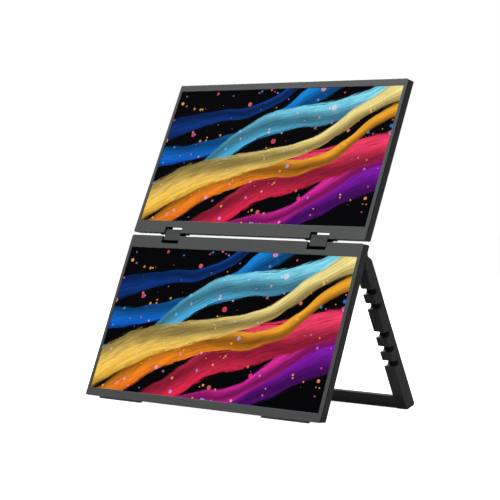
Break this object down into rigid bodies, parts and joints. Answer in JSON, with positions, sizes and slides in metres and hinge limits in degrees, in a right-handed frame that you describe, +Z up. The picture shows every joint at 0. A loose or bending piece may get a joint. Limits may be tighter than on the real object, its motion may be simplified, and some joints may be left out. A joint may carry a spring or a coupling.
{
  "type": "dual portable monitor",
  "caption": "Dual portable monitor: stacked thin screens joined by hinge blocks on double shafts, propped from behind by a notched fold-out U-shaped stand with rubber-padded feet.",
  "frame": {"origin": "on the table, at the middle of the object's width and depth", "axes": "+X to the viewer's right along the hinges, +Y to the back, +Z up"},
  "size_m": [0.353, 0.221, 0.4101],
  "materials": {
    "bezel": "fine satin grey",
    "casing": "satin dark grey",
    "screen": "smooth, shows a lit picture",
    "backlight": "white",
    "circuit_board": "green solder mask",
    "steel": "plain",
    "socket_steel": "plated",
    "hinge_block": "satin grey",
    "stand": "satin near-black",
    "rubber": "matt",
    "black_plastic": "matt"
  },
  "bodies": {
    "lower_monitor": {"lower_front_bezel": "bezel", "lower_lcd_panel": "screen", "lower_backlight_unit": "backlight", "lower_driver_board": "circuit_board", "lower_rear_shell": "casing", "lower_hinge_ears": "steel", "lower_hinge_shafts": "steel", "lower_hinge_screws": "steel", "rear_housing": "casing", "main_board": "circuit_board", "display_ribbon": "black_plastic", "usb_c_ports": "socket_steel", "mini_hdmi_port": "socket_steel", "speakers": "black_plastic", "housing_screws": "steel", "board_screws": "steel", "rubber_feet": "rubber", "stand_pins": "steel", "stand_washers": "steel"},
    "hinge_link": {"hinge_block_left": "hinge_block", "hinge_block_right": "hinge_block"},
    "upper_monitor": {"upper_front_bezel": "bezel", "upper_lcd_panel": "screen", "upper_backlight_unit": "backlight", "upper_driver_board": "circuit_board", "upper_rear_shell": "casing", "upper_hinge_ears": "steel", "upper_hinge_shafts": "steel", "upper_hinge_screws": "steel"},
    "stand": {"stand_leg_left": "stand", "stand_leg_right": "stand", "stand_crossbar": "stand", "stand_foot_pads": "rubber"},
    "power_button": {"power_button": "black_plastic"},
    "menu_rocker": {"menu_rocker": "black_plastic"}
  },
  "joints": [
    {"name": "link_fold", "type": "hinge", "parent": "lower_monitor", "child": "hinge_link", "pos_m": [0, -0.0217, 0.20287], "axis": [1, 0, 0], "range_deg": [-11.15, 91.15]},
    {"name": "upper_fold", "type": "hinge", "parent": "hinge_link", "child": "upper_monitor", "pos_m": [0, -0.01767, 0.21191], "axis": [1, 0, 0], "range_deg": [-11.15, 91.15]},
    {"name": "stand_fold", "type": "hinge", "parent": "lower_monitor", "child": "stand", "pos_m": [0, -0.01017, 0.18134], "axis": [1, 0, 0], "range_deg": [-54.5, 34.6]},
    {"name": "power_press", "type": "slide", "parent": "lower_monitor", "child": "power_button", "axis": [-1, 0, 0], "range_m": [0, 0.0005], "stiffness_N_per_m": 800},
    {"name": "menu_rock", "type": "hinge", "parent": "lower_monitor", "child": "menu_rocker", "pos_m": [0.1527, -0.03473, 0.13246], "axis": [0, 0.9212, -0.3891], "range_deg": [-3, 3], "stiffness_Nm_per_rad": 0.1}
  ]
}
